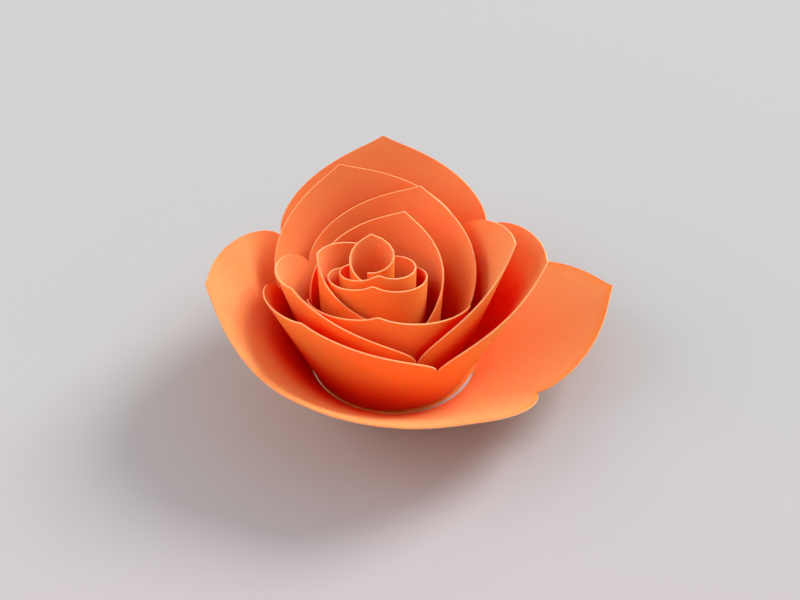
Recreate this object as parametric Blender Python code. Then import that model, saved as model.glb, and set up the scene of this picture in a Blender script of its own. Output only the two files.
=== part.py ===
# Rolled paper flower: one strip of card with petals cut along its outer edge,
# rolled up from its free end, and closed underneath by the round tab that its
# other end runs into. The whole flower is a single sheet.
#
# Metres, +Z up. The origin is on the table, under the middle of the tab. The
# strip winds outward counterclockwise as seen from above, and it ends at
# OUTER_END, in degrees from +X.

import math

import bmesh
import bpy
import numpy as np

MM = 0.001

# Card
SHEET = 0.3 * MM

# Bottom edge of the roll, to the middle of the card
CORE_RADIUS = 2.25 * MM
CORE_AIR = 1.84 * MM
RIM_AIR = 0.75 * MM
OUTER_END = 47.8
SEAT_AIR = 0.3 * MM

# The core of the roll sits to one side, so the air between the turns is taken
# up there: (turns before the outer end, share of the air taken up)
SHIFT_DIRECTION = 202.6
SHIFT = ((5.5, 0.0), (4.5, 0.66), (1.1, 0.66), (0.0, 0.0))

# How far the card leans outward: (turns before the outer end, degrees)
LEAN = (
    (8.4, 1.1), (6.6, 0.6), (5.6, 1.2), (4.9, 1.5), (4.2, 2.9), (3.6, 7.4), (3.1, 14.6), (2.3, 16.4),
    (1.6, 22.5), (1.3, 24.5), (1.0, 29.0), (0.88, 33.8), (0.73, 34.1), (0.58, 35.8), (0.46, 46.0), (0.33, 51.3),
    (0.23, 60.8), (0.13, 61.1), (0.0, 77.0),
)

# Petals from the core outward: degrees that the petal spans, where along it
# the tip stands, height of the tip along the card, and height of the valley
# that follows it
PETALS = (
    (490, 0.44, 26.5 * MM, 9.1 * MM),
    (461, 0.57, 26.0 * MM, 13.4 * MM),
    (308, 0.50, 25.3 * MM, 12.8 * MM),
    (246, 0.50, 25.8 * MM, 10.4 * MM),
    (228, 0.53, 25.1 * MM, 12.1 * MM),
    (176, 0.52, 24.6 * MM, 13.6 * MM),
    (154, 0.50, 26.7 * MM, 14.3 * MM),
    (142, 0.52, 29.6 * MM, 12.3 * MM),
    (119, 0.51, 31.6 * MM, 18.0 * MM),
    (126, 0.51, 29.2 * MM, 14.5 * MM),
    (120, 0.52, 29.8 * MM, 13.9 * MM),
    (109, 0.50, 30.2 * MM, 18.3 * MM),
    (100, 0.50, 31.5 * MM, 17.8 * MM),
    (104, 0.51, 30.8 * MM, 26.9 * MM),
    (77, 0.36, 28.6 * MM, 16.9 * MM),
    (84, 0.51, 28.0 * MM, 12.2 * MM),
)
FREE_END_HEIGHT = 23.0 * MM

# Petal outline: the share of the drop from tip to valley that is the flank,
# how much the flank hollows towards the tip (1 is straight), and how square
# the shoulder is that takes up the rest
FLANK = 0.58
FIRST_FLANK = 0.3
FLANK_HOLLOW = 0.78
SHOULDER = 2.6

# Round tab under the roll. The slit between its free edge and the last turn
# is widest near SLIT_MIDDLE.
TAB_JOIN = 60.0
TAB_EASE = 40.0
SLIT_AIR = 0.4 * MM
SLIT_BULGE = 0.25 * MM
SLIT_MIDDLE = 316.0
SLIT_BULGE_SPAN = 90.0
SLIT_END_SPAN = 6.0
LOWERED_FROM = 0.55

# Faces
STEP_ALONG = 12.0
FEWEST_STEPS = 5
TIP_COLUMN = 0.3
SHOULDER_COLUMNS = (0.6, 0.3, 0.1)
ROWS = 3
TAB_STEP = 6.0
TRACK_STEP = 4.0

CARD_COLOUR = (0.95, 0.23, 0.05, 1.0)
CARD_ROUGHNESS = 0.75

STRIP_SPAN = sum(petal[0] for petal in PETALS)
TOTAL_TURNS = STRIP_SPAN / 360.0
FREE_END = OUTER_END - STRIP_SPAN


def clear_scene():
    for old in list(bpy.data.objects):
        bpy.data.objects.remove(old, do_unlink=True)


def turns_to_go(angle):
    return (OUTER_END - angle) / 360.0


def stations(pairs):
    ordered = sorted(pairs)
    return np.array([p[0] for p in ordered]), np.array([p[1] for p in ordered])


def smooth_between(pairs, where):
    # Cubic curve through the stations that never swings past them
    at, value = stations(pairs)
    rise = np.diff(value) / np.diff(at)
    slope = np.zeros(len(at))
    slope[0], slope[-1] = rise[0], rise[-1]
    for i in range(1, len(at) - 1):
        if rise[i - 1] * rise[i] > 0.0:
            slope[i] = 2.0 * rise[i - 1] * rise[i] / (rise[i - 1] + rise[i])
    where = min(max(where, at[0]), at[-1])
    i = min(int(np.searchsorted(at, where, side="right")) - 1, len(at) - 2)
    gap = at[i + 1] - at[i]
    t = (where - at[i]) / gap
    start = (2 * t**3 - 3 * t**2 + 1) * value[i] + (t**3 - 2 * t**2 + t) * gap * slope[i]
    end = (3 * t**2 - 2 * t**3) * value[i + 1] + (t**3 - t**2) * gap * slope[i + 1]
    return start + end


def ease(t):
    t = min(max(t, 0.0), 1.0)
    return t * t * (3.0 - 2.0 * t)


def lean(angle):
    return math.radians(smooth_between(LEAN, turns_to_go(angle)))


def air(turn):
    # Free width between a turn and the next one, from the core outward
    return CORE_AIR + (RIM_AIR - CORE_AIR) * turn / TOTAL_TURNS


def radius(angle):
    turn = (angle - FREE_END) / 360.0
    return CORE_RADIUS + SHEET * turn + 0.5 * (CORE_AIR + air(turn)) * turn


def centre_track():
    # The centre of the roll at every few degrees, summed from the outer end
    angles = np.linspace(FREE_END, OUTER_END, int(STRIP_SPAN / TRACK_STEP) + 1)
    at, share = stations(SHIFT)
    rate = np.interp(turns_to_go(angles), at, share) * air((angles - FREE_END) / 360.0) / 360.0
    steps = 0.5 * (rate[1:] + rate[:-1]) * np.diff(angles)
    shift = np.concatenate(([0.0], np.cumsum(steps)))
    return angles, shift[-1] - shift


TRACK = centre_track()


def seat_height(angle):
    # The roll stands on the tab, and its last turn comes down to the tab's own level
    standing = 1.5 * SHEET + SEAT_AIR
    joined = 0.5 * SHEET
    start = OUTER_END - LOWERED_FROM * 360.0
    down = ease((angle - start) / (OUTER_END - TAB_JOIN - start))
    return standing + (joined - standing) * down


def bottom_edge(angle):
    turn = math.radians(angle)
    shift = float(np.interp(angle, *TRACK))
    toward = math.radians(SHIFT_DIRECTION)
    x = shift * math.cos(toward) + radius(angle) * math.cos(turn)
    y = shift * math.sin(toward) + radius(angle) * math.sin(turn)
    return np.array((x, y, seat_height(angle)))


def card_direction(angle):
    turn = math.radians(angle)
    tilt = lean(angle)
    return np.array((math.sin(tilt) * math.cos(turn), math.sin(tilt) * math.sin(turn), math.cos(tilt)))


def outline_height(tip, valley, flank, along):
    # Height of the petal's rim, from its tip (along = 0) to the valley (along = 1)
    drop = tip - valley
    shoulder = (1.0 - along**SHOULDER) ** (1.0 / SHOULDER)
    return tip - flank * drop * along**FLANK_HOLLOW - (1.0 - flank) * drop * (1.0 - shoulder)


def half_petal_steps(span):
    # Places from tip to valley, closer together on the shoulder
    count = max(FEWEST_STEPS, math.ceil(span / STEP_ALONG))
    last = 1.0 / count
    steps = [0.0, TIP_COLUMN * last] + [i * last for i in range(1, count)]
    steps += [1.0 - last * share for share in SHOULDER_COLUMNS]
    return steps + [1.0]


def rim_columns():
    # (angle, height of the rim) along the whole strip
    columns = []
    start = FREE_END
    before = FREE_END_HEIGHT
    for number, (span, tip_at, tip, after) in enumerate(PETALS):
        rising_flank = FLANK if number else 1.0
        falling_flank = FLANK if number else FIRST_FLANK
        tip_angle = start + tip_at * span
        end = start + span
        rising = half_petal_steps(tip_angle - start)
        for along in reversed(rising):
            height = outline_height(tip, before, rising_flank, along)
            columns.append((tip_angle - along * (tip_angle - start), height))
        for along in half_petal_steps(end - tip_angle)[1:-1]:
            height = outline_height(tip, after, falling_flank, along)
            columns.append((tip_angle + along * (end - tip_angle), height))
        start = end
        before = after
    columns.append((start, before))
    return columns


def add_strip(mesh):
    # One column of vertices for each place along the strip, and faces between
    rows = []
    for angle, height in rim_columns():
        foot = bottom_edge(angle)
        up = card_direction(angle)
        column = [mesh.verts.new(foot + up * height * row / ROWS) for row in range(ROWS + 1)]
        rows.append((angle, column))
    for (_, left), (_, right) in zip(rows, rows[1:]):
        for row in range(ROWS):
            mesh.faces.new((left[row], right[row], right[row + 1], left[row + 1]))
    return [(angle, column[0]) for angle, column in rows]


def foot_distance(angle):
    # From the origin to the strip's bottom edge, as seen from above
    x, y, _ = bottom_edge(angle)
    return math.hypot(x, y)


def tab_radius(angle):
    # The tab's free edge leaves the strip's end, runs just inside the foot of
    # the last turn and meets the strip again
    off_middle = min(abs(angle - SLIT_MIDDLE) / (0.5 * SLIT_BULGE_SPAN), 1.0)
    slit = 0.5 * SHEET + SLIT_AIR + SLIT_BULGE * ease(1.0 - off_middle)
    plain = foot_distance(angle - 360.0) - slit
    leaving = ease((angle - OUTER_END) / TAB_EASE)
    if leaving < 1.0:
        return plain + (foot_distance(OUTER_END) - plain) * (1.0 - leaving)
    end = OUTER_END + 360.0 - TAB_JOIN
    return plain + slit * ease(1.0 - (end - angle) / SLIT_END_SPAN)


def add_tab(mesh, bottom):
    # The strip's last stretch of bottom edge is the tab's own edge
    joined = [(angle, vert) for angle, vert in bottom if angle >= OUTER_END - TAB_JOIN]
    first_angle = joined[0][0]
    free_span = first_angle + 360.0 - OUTER_END
    count = math.ceil(free_span / TAB_STEP)
    free = []
    for i in range(1, count):
        angle = OUTER_END + free_span * i / count
        turn = math.radians(angle)
        spot = (tab_radius(angle) * math.cos(turn), tab_radius(angle) * math.sin(turn), 0.5 * SHEET)
        free.append(mesh.verts.new(spot))
    ring = [vert for _, vert in joined] + free
    middle = mesh.verts.new((0.0, 0.0, 0.5 * SHEET))
    for a, b in zip(ring, ring[1:] + ring[:1]):
        mesh.faces.new((a, b, middle))


def card_material():
    card = bpy.data.materials.new("card")
    card.use_nodes = True
    shader = card.node_tree.nodes["Principled BSDF"]
    shader.inputs["Base Color"].default_value = CARD_COLOUR
    shader.inputs["Roughness"].default_value = CARD_ROUGHNESS
    shader.inputs["Metallic"].default_value = 0.0
    return card


def build_flower():
    mesh = bmesh.new()
    bottom = add_strip(mesh)
    add_tab(mesh, bottom)
    bmesh.ops.recalc_face_normals(mesh, faces=mesh.faces)
    data = bpy.data.meshes.new("rolled_petal_strip")
    mesh.to_mesh(data)
    mesh.free()
    data.shade_smooth()
    data.materials.append(card_material())
    flower = bpy.data.objects.new("rolled_petal_strip", data)
    bpy.context.scene.collection.objects.link(flower)
    card = flower.modifiers.new("card thickness", "SOLIDIFY")
    card.thickness = SHEET
    card.offset = 0.0
    card.use_even_offset = True
    return flower


def main():
    clear_scene()
    build_flower()


main()
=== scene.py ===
import math

import bmesh
import bpy
import numpy as np
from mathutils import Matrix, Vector


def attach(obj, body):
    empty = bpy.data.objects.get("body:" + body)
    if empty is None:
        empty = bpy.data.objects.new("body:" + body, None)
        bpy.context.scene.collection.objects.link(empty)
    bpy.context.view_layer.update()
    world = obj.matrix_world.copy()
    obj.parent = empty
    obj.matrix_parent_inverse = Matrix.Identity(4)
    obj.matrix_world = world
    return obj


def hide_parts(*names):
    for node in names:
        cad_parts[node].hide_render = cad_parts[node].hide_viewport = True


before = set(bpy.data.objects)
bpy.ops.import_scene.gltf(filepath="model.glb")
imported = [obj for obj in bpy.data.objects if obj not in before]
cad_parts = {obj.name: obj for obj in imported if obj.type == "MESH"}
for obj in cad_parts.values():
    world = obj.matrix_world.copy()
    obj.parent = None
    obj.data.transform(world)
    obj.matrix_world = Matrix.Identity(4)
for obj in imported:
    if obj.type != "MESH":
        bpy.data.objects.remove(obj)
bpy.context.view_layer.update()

mm = 0.001


class Wire:
    # One output of a node. Sums on it add Math nodes to its tree, and without an output it
    # only makes nodes.
    def __init__(self, tree, socket=None):
        self.tree = tree
        self.socket = socket

    def node(self, kind, settings=None, inputs=None, output=0):
        made = self.tree.nodes.new(kind)
        for name, value in (settings or {}).items():
            setattr(made, name, value)
        for name, value in (inputs or {}).items():
            if isinstance(value, Wire):
                self.tree.links.new(value.socket, made.inputs[name])
            else:
                made.inputs[name].default_value = value
        return Wire(self.tree, made.outputs[output] if len(made.outputs) else None)

    def sums(self, operation, *values):
        return self.node("ShaderNodeMath", {"operation": operation}, dict(enumerate(values)))

    def __add__(self, other):
        return self.sums("ADD", self, other)

    def __radd__(self, other):
        return self.sums("ADD", other, self)

    def __sub__(self, other):
        return self.sums("SUBTRACT", self, other)

    def __rsub__(self, other):
        return self.sums("SUBTRACT", other, self)

    def __mul__(self, other):
        return self.sums("MULTIPLY", self, other)

    def __rmul__(self, other):
        return self.sums("MULTIPLY", other, self)

    def __truediv__(self, other):
        return self.sums("DIVIDE", self, other)

    def __rtruediv__(self, other):
        return self.sums("DIVIDE", other, self)

    def sine(self):
        return self.sums("SINE", self)

    def cosine(self):
        return self.sums("COSINE", self)

    def clamped(self):
        return self.node("ShaderNodeClamp", {}, {"Value": self, "Min": 0.0, "Max": 1.0})

    def above(self, level):
        # The part of it that is more than the level, or 0
        return self.sums("MAXIMUM", self - level, 0.0)

    def ramp(self, low, high):
        # 0 at low, 1 at high, smooth between
        settings = {"interpolation_type": "SMOOTHSTEP"}
        inputs = {"Value": self, "From Min": low, "From Max": high}
        return self.node("ShaderNodeMapRange", settings, inputs)

    def blend(self, first, second):
        # The first colour where it is 0, the second where it is 1. A Mix node has its colours
        # at inputs 6 and 7, and the mixed one at output 2.
        ends = {6: first, 7: second}
        colours = {slot: end if isinstance(end, Wire) else (*end, 1.0) for slot, end in ends.items()}
        return self.node("ShaderNodeMix", {"data_type": "RGBA"}, {"Factor": self, **colours}, output=2)


# The flower is one sheet of card: a spiral-cut strip with petals, rolled up from its
# free end, that stands on the round tab at its other end. Angles are in degrees from
# +X, counterclockwise seen from above, and the strip winds outward that way.

# Shape of the strip

card = {
    "thickness": 0.3 * mm,
    "waviness": 0.16 * mm,      # how far the sheet strays from a true curve
    "wavesBetween": (2.0 * mm, 16.0 * mm),      # up the sheet: still straight, as wavy as it gets
    "wavelength": 16.0 * mm,
    "waveDetail": 1.0,
    "waveRoughness": 0.4,
    "seed": 7,
}

roll = {
    "coreRadius": 2.25 * mm,
    "coreAir": 1.84 * mm,       # between the turns, at the core and at the rim
    "rimAir": 0.75 * mm,
    "outerEnd": 47.8,
    "seatAir": 0.3 * mm,        # between the roll's foot and the tab
    "loweredFrom": 0.55,        # turns before the outer end
    "shiftDirection": 202.6,    # the way that the roll's centre moves from its rim to its core
    "shiftSteps": 760,
    # (turns before the outer end, share of the air taken up by the shift)
    "shift": ((5.5, 0.0), (4.5, 0.66), (1.1, 0.66), (0.0, 0.0)),
    # (turns before the outer end, degrees that the card leans outward)
    "lean": (
        (8.4, 1.1), (6.6, 0.6), (5.6, 1.2), (4.9, 1.5), (4.2, 2.9), (3.6, 7.4), (3.1, 14.6), (2.3, 16.4),
        (1.6, 22.5), (1.3, 24.5), (1.0, 29.0), (0.88, 33.8), (0.73, 34.1), (0.58, 35.8), (0.46, 46.0),
        (0.33, 51.3), (0.23, 60.8), (0.13, 61.1), (0.0, 77.0),
    ),
    # (turns before the outer end, mm up the card of a soft bend, degrees that it turns outward)
    "bend": (
        (0.78, 25.5, 0.0), (0.74, 25.5, 6.0), (0.69, 23.5, 11.0), (0.65, 20.5, 11.0), (0.60, 18.0, 8.0),
        (0.55, 18.0, 4.0), (0.48, 18.0, 0.0), (0.40, 18.0, 0.0),
    ),
    "bendWidth": 2.5 * mm,
}

petals = {
    # From the core outward: span in degrees, where the tip stands along it, height of
    # the tip up the card and height of the valley after it, both in mm
    "list": (
        (490, 0.44, 26.5, 9.1), (461, 0.57, 26.0, 13.4), (308, 0.50, 25.3, 12.8), (246, 0.50, 25.8, 10.4),
        (228, 0.53, 25.1, 12.1), (176, 0.52, 24.6, 13.6), (154, 0.50, 26.7, 14.3), (142, 0.52, 29.6, 12.3),
        (119, 0.51, 31.6, 18.0), (126, 0.51, 29.2, 14.5), (120, 0.52, 29.8, 13.9), (109, 0.50, 30.2, 18.3),
        (100, 0.50, 31.5, 17.8), (104, 0.51, 30.8, 26.9), (77, 0.36, 28.6, 16.9), (84, 0.51, 28.0, 12.2),
    ),
    "freeEndHeight": 23.0,
    "flank": 0.58,              # share of the drop from tip to valley that is the flank
    "firstFlank": 0.3,
    "hollow": 0.78,             # 1 is a straight flank
    "shoulder": 2.6,            # 2 is a round shoulder, more is squarer
    "columnStep": 0.8 * mm,
    "stepAt": 0.8,              # share of the petal's height where that step is measured
    "fewestColumns": 12,
    "rows": 12,
    "crowding": 2.2,            # how close the columns stand near a valley
}

totalTurns = sum(petal[0] for petal in petals["list"]) / 360.0
freeEnd = roll["outerEnd"] - 360.0 * totalTurns


def ease(t):
    t = min(max(t, 0.0), 1.0)
    return t * t * (3.0 - 2.0 * t)


def smoothBetween(pairs, where):
    # Cubic curve through the stations that never swings past them
    ordered = sorted(pairs)
    at = np.array([p[0] for p in ordered])
    value = np.array([p[1] for p in ordered])
    rise = np.diff(value) / np.diff(at)
    slope = np.zeros(len(at))
    slope[0], slope[-1] = rise[0], rise[-1]
    for i in range(1, len(at) - 1):
        if rise[i - 1] * rise[i] > 0.0:
            slope[i] = 2.0 * rise[i - 1] * rise[i] / (rise[i - 1] + rise[i])
    where = np.clip(where, at[0], at[-1])
    i = np.clip(np.searchsorted(at, where, side="right") - 1, 0, len(at) - 2)
    gap = at[i + 1] - at[i]
    t = (where - at[i]) / gap
    start = (2 * t**3 - 3 * t**2 + 1) * value[i] + (t**3 - 2 * t**2 + t) * gap * slope[i]
    end = (3 * t**2 - 2 * t**3) * value[i + 1] + (t**3 - t**2) * gap * slope[i + 1]
    return start + end


def turnsToGo(angle):
    return (roll["outerEnd"] - angle) / 360.0


def radiusAt(angle):
    turn = (angle - freeEnd) / 360.0
    air = roll["coreAir"] + (roll["rimAir"] - roll["coreAir"]) * turn / totalTurns
    return roll["coreRadius"] + card["thickness"] * turn + 0.5 * (roll["coreAir"] + air) * turn


def shiftTrack():
    # How far the roll's centre has moved at every few degrees, summed from the outer end
    angles = np.linspace(freeEnd, roll["outerEnd"], roll["shiftSteps"])
    stations = sorted(roll["shift"])
    share = np.interp(turnsToGo(angles), [s[0] for s in stations], [s[1] for s in stations])
    turn = (angles - freeEnd) / 360.0
    air = roll["coreAir"] + (roll["rimAir"] - roll["coreAir"]) * turn / totalTurns
    rate = share * air / 360.0
    moved = np.concatenate(([0.0], np.cumsum(0.5 * (rate[1:] + rate[:-1]) * np.diff(angles))))
    return angles, moved[-1] - moved


track = shiftTrack()


def seatAt(angle):
    # Height of the sheet's base, at the middle of its thickness: on the tab, or as part of it
    joined = 0.5 * card["thickness"]
    standing = joined + card["thickness"] + roll["seatAir"]
    start = roll["outerEnd"] - roll["loweredFrom"] * 360.0
    down = ease((angle - start) / (roll["outerEnd"] - tab["join"] - start))
    return standing + (joined - standing) * down


def footAt(angle):
    shift = float(np.interp(angle, *track))
    toward = math.radians(roll["shiftDirection"])
    turn = math.radians(angle)
    x = shift * math.cos(toward) + radiusAt(angle) * math.cos(turn)
    y = shift * math.sin(toward) + radiusAt(angle) * math.sin(turn)
    return x, y


def rimHeight(tip, valley, flank, along):
    drop = tip - valley
    shoulder = (1.0 - along ** petals["shoulder"]) ** (1.0 / petals["shoulder"])
    return tip - flank * drop * along ** petals["hollow"] - (1.0 - flank) * drop * (1.0 - shoulder)


def halfPetal(fromAngle, toAngle, tip, valley, flank):
    # Columns from the tip to the valley, closer together towards the valley
    middle = 0.5 * (fromAngle + toAngle)
    lean = math.radians(float(smoothBetween(roll["lean"], turnsToGo(middle))))
    reach = radiusAt(middle) + petals["stepAt"] * tip * mm * math.sin(lean)
    length = abs(math.radians(toAngle - fromAngle)) * reach
    count = max(petals["fewestColumns"], math.ceil(length / petals["columnStep"]))
    columns = []
    for i in range(count + 1):
        along = 1.0 - (1.0 - i / count) ** petals["crowding"]
        angle = fromAngle + (toAngle - fromAngle) * along
        columns.append((angle, rimHeight(tip, valley, flank, along) * mm))
    return columns


def stripColumns():
    columns = []
    start = freeEnd
    before = petals["freeEndHeight"]
    for number, (span, tipAt, tip, after) in enumerate(petals["list"]):
        tipAngle = start + tipAt * span
        end = start + span
        rising = halfPetal(tipAngle, start, tip, before, petals["flank"] if number else 1.0)
        falling = halfPetal(tipAngle, end, tip, after, petals["flank"] if number else petals["firstFlank"])
        columns += rising[::-1][:-1] + falling[:-1]
        start = end
        before = after
    return columns + [(start, before * mm)]


def openness(perColumn, side):
    # Share of a half turn, in the upright plane through the axis, that the card sees above
    # the rim of the next turn, inward (side -1) or outward (side 1)
    # This share sets the painted shade in the grooves
    angles, heights = perColumn["windAngle"], perColumn["rimUp"]
    lean = np.radians(perColumn["leanAngle"])
    radii = np.array([radiusAt(a) for a in angles])
    rimReach = radii + heights * np.sin(lean)
    rimLevel = perColumn["seatHeight"] + heights * np.cos(lean)
    up = heights[:, None] * np.arange(petals["rows"] + 1) / petals["rows"]
    reach = radii[:, None] + up * np.sin(lean)[:, None]
    level = perColumn["seatHeight"][:, None] + up * np.cos(lean)[:, None]
    nextTurn = angles + side * 360.0
    beside = np.interp(nextTurn, angles, rimReach)[:, None] - reach
    drift = np.interp(nextTurn, *track) - perColumn["centreShift"]
    beside += (drift * np.cos(np.radians(angles - roll["shiftDirection"])))[:, None]
    above = np.interp(nextTurn, angles, rimLevel)[:, None] - level
    if side < 0.0:
        # The innermost turn looks across the core
        across = (nextTurn < freeEnd)[:, None]
        beside = np.where(across, -2.0 * reach, beside)
        facing = np.interp(angles + 180.0, angles, rimLevel)
        above = np.where(across, facing[:, None] - level, above)
    seen = np.arctan2(side * beside, above) - side * lean[:, None]
    if side > 0.0:
        seen = np.where((nextTurn > roll["outerEnd"])[:, None], math.pi, seen)
    return np.clip(seen / math.pi, 0.0, 1.0)


def flatStrip():
    # The cut strip laid out straight: X runs along its base, Y up the card
    columns = stripColumns()
    rows = petals["rows"]
    angles = np.array([c[0] for c in columns])
    heights = np.array([c[1] for c in columns])
    radii = np.array([radiusAt(a) for a in angles])
    steps = np.radians(np.diff(angles)) * 0.5 * (radii[1:] + radii[:-1])
    base = np.concatenate(([0.0], np.cumsum(steps)))
    vertices = []
    for x, height in zip(base, heights):
        vertices += [(x, height * row / rows, 0.0) for row in range(rows + 1)]
    faces = []
    for column in range(len(columns) - 1):
        for row in range(rows):
            a = column * (rows + 1) + row
            faces.append((a, a + rows + 1, a + rows + 2, a + 1))
    mesh = bpy.data.meshes.new("flatStrip")
    mesh.from_pydata(vertices, [], faces)
    perColumn = {
        "windAngle": angles,
        "leanAngle": smoothBetween(roll["lean"], turnsToGo(angles)),
        "centreShift": np.interp(angles, *track),
        "seatHeight": np.array([seatAt(a) for a in angles]),
        "rimUp": heights,
        "bendUp": smoothBetween([b[:2] for b in roll["bend"]], turnsToGo(angles)) * mm,
        "bendTurn": smoothBetween([b[::2] for b in roll["bend"]], turnsToGo(angles)),
    }
    for name, values in perColumn.items():
        layer = mesh.attributes.new(name, "FLOAT", "POINT")
        layer.data.foreach_set("value", np.repeat(values, rows + 1).astype(np.float32))
    for name, side in (("openInside", -1.0), ("openOutside", 1.0)):
        layer = mesh.attributes.new(name, "FLOAT", "POINT")
        layer.data.foreach_set("value", openness(perColumn, side).ravel().astype(np.float32))
    uv = mesh.uv_layers.new(name="UVMap")
    spots = np.array([vertices[loop.vertex_index][:2] for loop in mesh.loops])
    uv.data.foreach_set("uv", spots.ravel())
    strip = bpy.data.objects.new("flatStrip", mesh)
    bpy.context.scene.collection.objects.link(strip)
    return strip


def rollTree(material):
    # Rolls the flat strip up: each column goes to its place on the winding line and leans out
    tree = bpy.data.node_groups.new("rollUpStrip", "GeometryNodeTree")
    panel = tree.interface
    panel.new_socket("Geometry", in_out="OUTPUT", socket_type="NodeSocketGeometry")
    panel.new_socket("Geometry", in_out="INPUT", socket_type="NodeSocketGeometry")
    sizes = {
        "Free End": freeEnd, "Total Turns": totalTurns, "Core Radius": roll["coreRadius"],
        "Core Air": roll["coreAir"], "Rim Air": roll["rimAir"], "Card Thickness": card["thickness"],
        "Shift Direction": roll["shiftDirection"], "Bend Width": roll["bendWidth"],
        "Waviness": card["waviness"], "Wavelength": card["wavelength"], "Seed": float(card["seed"]),
    }
    sockets = {}
    for name in sizes:
        sockets[name] = panel.new_socket(name, in_out="INPUT", socket_type="NodeSocketFloat").identifier
    source = tree.nodes.new("NodeGroupInput")
    here = Wire(tree)

    def given(name):
        return Wire(tree, source.outputs[name])

    def column(name):
        return here.node("GeometryNodeInputNamedAttribute", {"data_type": "FLOAT"}, {"Name": name})

    radians = math.pi / 180.0
    windAngle = column("windAngle")
    turn = (windAngle - given("Free End")) / 360.0
    air = given("Core Air") + (given("Rim Air") - given("Core Air")) * turn / given("Total Turns")
    radius = given("Core Radius") + given("Card Thickness") * turn + 0.5 * (given("Core Air") + air) * turn
    wind = windAngle * radians
    lean = column("leanAngle") * radians
    toward = given("Shift Direction") * radians
    shift = column("centreShift")
    place = here.node("GeometryNodeInputPosition")
    up = here.node("ShaderNodeSeparateXYZ", {}, {"Vector": place}, output="Y")

    # Past its bend the card leans out further, and below it less, so that its rim stays put
    def pastBend(height):
        half = given("Bend Width") * 0.5
        into = ((height - column("bendUp") + half) / given("Bend Width")).clamped()
        beyond = height.above(column("bendUp") + half)
        return given("Bend Width") * (into * into * into - 0.5 * into * into * into * into) + beyond

    rimUp = column("rimUp")
    bowed = column("bendTurn") * radians * (pastBend(up) - up / rimUp * pastBend(rimUp))
    reach = radius + up * lean.sine() + bowed * lean.cosine()
    x = shift * toward.cosine() + reach * wind.cosine()
    y = shift * toward.sine() + reach * wind.sine()
    z = column("seatHeight") + up * lean.cosine() - bowed * lean.sine()
    rolled = here.node("ShaderNodeCombineXYZ", {}, {"X": x, "Y": y, "Z": z})
    placed = {"Geometry": given("Geometry"), "Position": rolled}
    setRolled = here.node("GeometryNodeSetPosition", {}, placed)

    # The sheet is never a true curve: it strays in and out more towards its rim
    noiseAt = here.node("ShaderNodeVectorMath", {"operation": "SCALE"},
                        {"Vector": place, "Scale": 1.0 / given("Wavelength")})
    noise = here.node("ShaderNodeTexNoise", {"noise_dimensions": "4D"},
                      {"Vector": noiseAt, "W": given("Seed"), "Scale": 1.0,
                       "Detail": card["waveDetail"], "Roughness": card["waveRoughness"]})
    stray = (noise - 0.5) * 2.0 * given("Waviness") * up.ramp(*card["wavesBetween"])
    normal = here.node("GeometryNodeInputNormal")
    offset = here.node("ShaderNodeVectorMath", {"operation": "SCALE"}, {"Vector": normal, "Scale": stray})
    strayed = here.node("GeometryNodeSetPosition", {}, {"Geometry": setRolled, "Offset": offset})
    real = here.node("GeometryNodeRealizeInstances", {}, {"Geometry": strayed})
    done = here.node("GeometryNodeSetMaterial", {}, {"Geometry": real, "Material": material})
    sink = tree.nodes.new("NodeGroupOutput")
    tree.links.new(done.socket, sink.inputs["Geometry"])
    return tree, {sockets[name]: value for name, value in sizes.items()}


def rolledMesh(strip, material):
    tree, values = rollTree(material)
    modifier = strip.modifiers.new("roll up", "NODES")
    modifier.node_group = tree
    for identifier, value in values.items():
        modifier[identifier] = value
    graph = bpy.context.evaluated_depsgraph_get()
    mesh = bpy.data.meshes.new_from_object(strip.evaluated_get(graph), depsgraph=graph)
    strip.modifiers.remove(modifier)
    bpy.data.objects.remove(strip)
    return mesh


# Tab

tab = {
    "join": 60.0,               # degrees of the strip's end that are joined to the tab
    "joinSlack": 0.01,          # degrees, so that rounding leaves out no column
    "ease": 40.0,               # degrees over which the tab's edge draws in to the slit
    "slitAir": 0.4 * mm,
    "slitBulge": 0.25 * mm,     # how much wider the slit is at its middle
    "slitMiddle": 316.0,
    "slitBulgeSpan": 90.0,
    "slitEndSpan": 6.0,         # degrees over which the slit closes
    "step": 3.0,                # degrees between the points of its free edge
    "rings": (0.9, 0.75, 0.55, 0.3),
    "openness": 0.3,            # as a share of a half turn of sky, for its painted groove shade
}


def tabRadius(angle):
    def footDistance(a):
        return math.hypot(*footAt(a))

    offMiddle = min(abs(angle - tab["slitMiddle"]) / (0.5 * tab["slitBulgeSpan"]), 1.0)
    slit = 0.5 * card["thickness"] + tab["slitAir"] + tab["slitBulge"] * ease(1.0 - offMiddle)
    plain = footDistance(angle - 360.0) - slit
    leaving = ease((angle - roll["outerEnd"]) / tab["ease"])
    if leaving < 1.0:
        return plain + (footDistance(roll["outerEnd"]) - plain) * (1.0 - leaving)
    end = roll["outerEnd"] + 360.0 - tab["join"]
    return plain + slit * ease(1.0 - (end - angle) / tab["slitEndSpan"])


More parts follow.
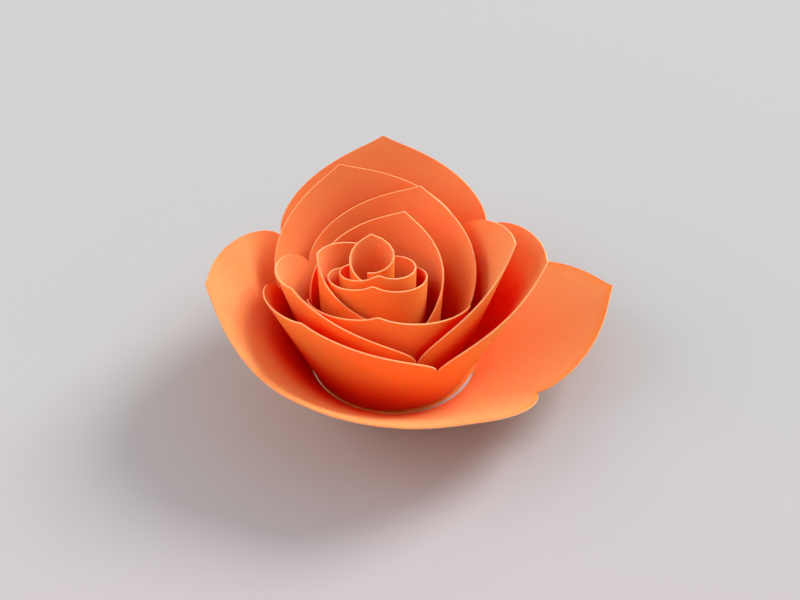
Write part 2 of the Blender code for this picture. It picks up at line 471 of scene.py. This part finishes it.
def addTab(mesh):
    # Round tab: rings of faces from the strip's last stretch of base and a free edge inward
    shape = bmesh.new()
    shape.from_mesh(mesh)
    shape.verts.ensure_lookup_table()
    wind = shape.verts.layers.float["windAngle"]
    seen = [shape.verts.layers.float[name] for name in ("openInside", "openOutside")]
    uv = shape.loops.layers.uv["UVMap"]
    rowsUp = petals["rows"] + 1
    base = [shape.verts[i] for i in range(0, len(shape.verts), rowsUp)]
    joinStart = roll["outerEnd"] - tab["join"]
    joined = [v for v in base if v[wind] >= joinStart - tab["joinSlack"]]
    firstAngle = joined[0][wind]
    level = 0.5 * card["thickness"]
    freeSpan = firstAngle + 360.0 - roll["outerEnd"]
    count = math.ceil(freeSpan / tab["step"])
    ring = list(joined)
    for i in range(1, count):
        angle = roll["outerEnd"] + freeSpan * i / count
        turn = math.radians(angle)
        spot = (tabRadius(angle) * math.cos(turn), tabRadius(angle) * math.sin(turn), level)
        ring.append(shape.verts.new(spot))
    made = []
    outer = ring
    for share in tab["rings"]:
        inner = [shape.verts.new((v.co.x * share, v.co.y * share, level)) for v in ring]
        for i in range(len(ring)):
            j = (i + 1) % len(ring)
            made.append(shape.faces.new((outer[i], inner[i], inner[j], outer[j])))
        outer = inner
    middle = shape.verts.new((0.0, 0.0, level))
    for i in range(len(ring)):
        made.append(shape.faces.new((outer[i], middle, outer[(i + 1) % len(ring)])))
    for f in made:
        for loop in f.loops:
            loop[uv].uv = loop.vert.co.xy
            # The tab's free part takes a fixed openness, which sets its painted groove shade
            if loop.vert not in joined:
                for layer in seen:
                    loop.vert[layer] = tab["openness"]
    bmesh.ops.recalc_face_normals(shape, faces=shape.faces)
    shape.to_mesh(mesh)
    shape.free()
    mesh.update()


# Finish of the card

finish = {
    "faceColour": (1.0, 0.32, 0.105),
    "outsideBounceColour": (1.0, 0.27, 0.055),    # painted bounce light: the side of the card that ends up outside, drawn redder for the orange light the turns bounce onto it
    "grooveShadeColour": (1.0, 0.03, 0.002),       # painted shade: down in the narrow grooves, where light bounces redder
    "grooveShadeBelow": (0.12, 0.28),              # share of the half turn of sky: all painted groove shade, all face
    "edgeColour": (1.0, 0.43, 0.20),
    "edgeShade": (0.95, 0.38, 0.17),
    # (noise scale per metre, detail, roughness, how much it changes the colour)
    "cloud": (90.0, 2.0, 0.5, 0.50),        # pulp clouding, about 10 mm
    "mottle": (900.0, 3.0, 0.6, 0.22),      # about 1 mm
    "fibres": (5200.0, 3.0, 0.7, 0.12),     # surface fibres, about 0.2 mm
    "roughness": 0.66,
    "mottleRough": 0.16,        # how much each changes the roughness
    "fibresRough": 0.10,
    "fibresUp": 0.6,            # how much each raises the surface
    "mottleUp": 0.4,
    "bumpStrength": 0.22,
    "bumpHeight": 0.05 * mm,
    "shine": 0.12,
    "glow": 1.0,                # share of the light that enters the card and leaves it redder
    "glowRadius": (1.0, 0.10, 0.03),
    "glowDepth": 0.7 * mm,
}


def cardMaterial(name, cutEdge):
    material = bpy.data.materials.new(name)
    material.use_nodes = True
    tree = material.node_tree
    shader = tree.nodes["Principled BSDF"]
    here = Wire(tree)
    place = here.node("ShaderNodeTexCoord", output="Object")

    def noise(layer):
        scale, detail, roughness, weight = finish[layer]
        settings = {"noise_dimensions": "3D"}
        inputs = {"Vector": place, "Scale": scale, "Detail": detail, "Roughness": roughness}
        made = here.node("ShaderNodeTexNoise", settings, inputs)
        return made, (made - 0.5) * weight

    cloudTone = noise("cloud")[1]
    mottle, mottleTone = noise("mottle")
    fibres, fibresTone = noise("fibres")
    tone = cloudTone + mottleTone + fibresTone

    if cutEdge:
        colour = (0.5 - tone).blend(finish["edgeColour"], finish["edgeShade"])
    else:
        outside = here.node("ShaderNodeAttribute", {"attribute_name": "reverseSide"}, output="Fac")
        seen = here.node("ShaderNodeAttribute", {"attribute_name": "openness"}, output="Fac")
        # Painted bounce light: the card's outer side is drawn redder than its inner side
        sheet = outside.blend(finish["faceColour"], finish["outsideBounceColour"])
        # Painted shade: the colour turns deep red where the card sees little sky
        grooveShade = 1.0 - seen.ramp(*finish["grooveShadeBelow"]) - tone
        colour = grooveShade.blend(sheet, finish["grooveShadeColour"])
    tree.links.new(colour.socket, shader.inputs["Base Color"])
    roughened = (mottle - 0.5) * finish["mottleRough"] + (fibres - 0.5) * finish["fibresRough"]
    rough = finish["roughness"] + roughened
    tree.links.new(rough.socket, shader.inputs["Roughness"])
    raised = {
        "Height": fibres * finish["fibresUp"] + mottle * finish["mottleUp"],
        "Strength": finish["bumpStrength"],
        "Distance": finish["bumpHeight"],
    }
    bump = here.node("ShaderNodeBump", {}, raised)
    tree.links.new(bump.socket, shader.inputs["Normal"])
    shader.inputs["Metallic"].default_value = 0.0
    shader.inputs["Specular IOR Level"].default_value = finish["shine"]
    shader.inputs["Subsurface Weight"].default_value = finish["glow"]
    shader.inputs["Subsurface Radius"].default_value = finish["glowRadius"]
    shader.inputs["Subsurface Scale"].default_value = finish["glowDepth"]
    return material


def makeFlower():
    face = cardMaterial("orangeCard", False)
    edge = cardMaterial("orangeCardCutEdge", True)
    strip = flatStrip()
    print("flat strip laid out")
    mesh = rolledMesh(strip, face)
    print("strip rolled up")
    addTab(mesh)
    mesh.materials.clear()
    mesh.materials.append(face)
    mesh.materials.append(edge)
    mesh.shade_smooth()
    flower = bpy.data.objects.new("rolledPaperFlower", mesh)
    bpy.context.scene.collection.objects.link(flower)
    solid = flower.modifiers.new("card thickness", "SOLIDIFY")
    solid.thickness = card["thickness"]
    solid.offset = 0.0
    solid.use_even_offset = True
    solid.material_offset_rim = 1
    graph = bpy.context.evaluated_depsgraph_get()
    thick = bpy.data.meshes.new_from_object(flower.evaluated_get(graph), depsgraph=graph)
    flower.modifiers.remove(solid)
    flower.data = thick
    tellSides(thick)
    markSharpEdges(thick)
    print("card given its thickness:", len(thick.polygons), "faces")
    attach(flower, "root")
    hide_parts("rolled_petal_strip")


def tellSides(mesh):
    # The inner face of the card takes the inner openness and the outer face the outer one; openness sets
    # the painted groove shade
    count = len(mesh.vertices)
    places, normals = np.zeros(3 * count), np.zeros(3 * count)
    mesh.vertices.foreach_get("co", places)
    mesh.vertices.foreach_get("normal", normals)
    places, normals = places.reshape(-1, 3), normals.reshape(-1, 3)
    outward = np.sum(places[:, :2] * normals[:, :2], axis=1) > 0.0
    sides = {}
    for name in ("openInside", "openOutside"):
        sides[name] = np.zeros(count, dtype=np.float32)
        mesh.attributes[name].data.foreach_get("value", sides[name])
    seen = np.where(outward, sides["openOutside"], sides["openInside"])
    mesh.attributes.new("openness", "FLOAT", "POINT").data.foreach_set("value", seen)
    # The outer side is marked for the painted bounce light colour
    reverse = outward.astype(np.float32)
    mesh.attributes.new("reverseSide", "FLOAT", "POINT").data.foreach_set("value", reverse)


def markSharpEdges(mesh):
    # The card's cut edge meets its two faces at a crisp corner
    sides = {}
    for face in mesh.polygons:
        for key in face.edge_keys:
            sides.setdefault(key, set()).add(face.material_index)
    for edge in mesh.edges:
        edge.use_edge_sharp = len(sides.get(tuple(sorted(edge.vertices)), ())) > 1


# Table

table = {
    "half": 1.5,                            # half its width, in metres
    "colour": (0.50, 0.50, 0.505),
    "nearColour": (0.545, 0.478, 0.515),
    "fade": (-0.12, 0.02),                  # from where to where, back along Y, the near colour fades
    "roughness": 0.9,
    "shine": 0.1,
}


def makeTable():
    half = table["half"]
    corners = [(-half, -half, 0), (half, -half, 0), (half, half, 0), (-half, half, 0)]
    mesh = bpy.data.meshes.new("paleTable")
    mesh.from_pydata(corners, [], [(0, 1, 2, 3)])
    floor = bpy.data.objects.new("paleTable", mesh)
    bpy.context.scene.collection.objects.link(floor)
    material = bpy.data.materials.new("paleTable")
    material.use_nodes = True
    shader = material.node_tree.nodes["Principled BSDF"]
    here = Wire(material.node_tree)
    place = here.node("ShaderNodeTexCoord", output="Object")
    back = here.node("ShaderNodeSeparateXYZ", {}, {"Vector": place}, output="Y").ramp(*table["fade"])
    colour = back.blend(table["nearColour"], table["colour"])
    material.node_tree.links.new(colour.socket, shader.inputs["Base Color"])
    shader.inputs["Roughness"].default_value = table["roughness"]
    shader.inputs["Specular IOR Level"].default_value = table["shine"]
    mesh.materials.append(material)


# Light

light = {
    "sky": 0.66,
    "skySeen": 0.80,                    # the sky as the camera sees it
    "keyWatts": 46.0,                   # from the right and a little behind the flower
    "keySize": 1.30,
    "keyAway": 2.40,
    "keyAzimuth": 35.0,
    "keyElevation": 40.0,
    "fillWatts": 1.7,                   # from the left
    "fillSize": 0.60,
    "fillAway": 0.80,
    "fillAzimuth": 187.0,
    "fillElevation": 37.0,
}


def addLamp(name):
    lamp = bpy.data.lights.new(name + "Lamp", "AREA")
    lamp.energy = light[name + "Watts"]
    lamp.shape = "DISK"
    lamp.size = light[name + "Size"]
    azimuth = math.radians(light[name + "Azimuth"])
    elevation = math.radians(light[name + "Elevation"])
    level = math.cos(elevation)
    toward = Vector((level * math.cos(azimuth), level * math.sin(azimuth), math.sin(elevation)))
    stand = bpy.data.objects.new(name + "Lamp", lamp)
    stand.location = toward * light[name + "Away"]
    stand.rotation_euler = toward.to_track_quat("Z", "Y").to_euler()
    bpy.context.scene.collection.objects.link(stand)


def makeLight():
    world = bpy.data.worlds.new("softRoom")
    bpy.context.scene.world = world
    world.use_nodes = True
    here = Wire(world.node_tree)
    seen = here.node("ShaderNodeLightPath", output="Is Camera Ray")
    strength = light["sky"] + seen * (light["skySeen"] - light["sky"])
    sky = world.node_tree.nodes["Background"]
    sky.inputs["Color"].default_value = (1.0, 1.0, 1.0, 1.0)
    world.node_tree.links.new(strength.socket, sky.inputs["Strength"])
    addLamp("key")
    addLamp("fill")


# Camera

view = {
    "elevation": 41.42,
    "lens": 82.19,
    "sensorWidth": 36.0,
    "place": (1.43 * mm, -244.98 * mm, 230.31 * mm),
    "nearest": 0.01,
    "farthest": 10.0,
}


def makeCamera():
    lens = bpy.data.cameras.new("photoView")
    lens.sensor_width = view["sensorWidth"]
    lens.lens = view["lens"]
    lens.clip_start = view["nearest"]
    lens.clip_end = view["farthest"]
    camera = bpy.data.objects.new("photoView", lens)
    camera.location = view["place"]
    camera.rotation_euler = (math.radians(90.0 - view["elevation"]), 0.0, 0.0)
    bpy.context.scene.collection.objects.link(camera)
    bpy.context.scene.camera = camera


bpy.context.scene.view_settings.view_transform = "Standard"
makeCamera()
makeLight()
makeTable()
print("camera, light and table ready")
makeFlower()
print("flower ready")
